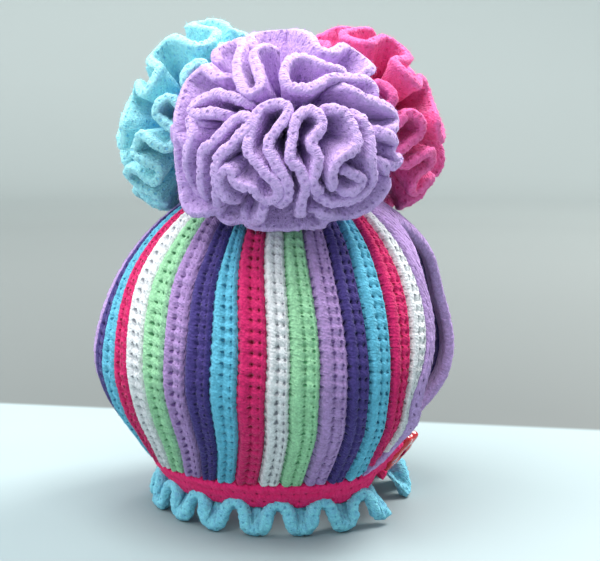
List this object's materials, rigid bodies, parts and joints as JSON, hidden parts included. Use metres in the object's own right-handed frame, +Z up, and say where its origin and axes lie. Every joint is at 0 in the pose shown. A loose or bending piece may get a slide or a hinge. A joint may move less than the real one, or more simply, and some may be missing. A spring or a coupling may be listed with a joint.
{
  "type": "tea cosy",
  "caption": "Crocheted tea cosy with upright stripes, edged spout and handle openings, a buttoned tab, a frilled hem and ruffled flowers on its crown.",
  "frame": {"origin": "on the cosy's own axis, on the surface it stands on", "axes": "+Z up; +X towards the handle opening and the button; -X towards the spout opening; the front panel faces -Y"},
  "size_m": [0.1458, 0.156, 0.1956],
  "materials": {
    "striped_yarns": "crocheted acrylic yarn in purple, turquoise, pink, white, mint and lilac stripes",
    "lilac_yarn": "soft crocheted acrylic yarn, lilac",
    "pink_yarn": "soft crocheted acrylic yarn, deep pink",
    "turquoise_yarn": "soft crocheted acrylic yarn, turquoise",
    "red_plastic": "glossy red plastic button"
  },
  "bodies": {
    "root": {"front_panel": "striped_yarns", "back_panel": "striped_yarns", "handle_edging": "lilac_yarn", "spout_edging": "lilac_yarn", "base_band": "pink_yarn", "frill": "turquoise_yarn", "button": "red_plastic", "flower_lilac": "lilac_yarn", "flower_pink": "pink_yarn", "flower_turquoise": "turquoise_yarn"}
  },
  "joints": []
}
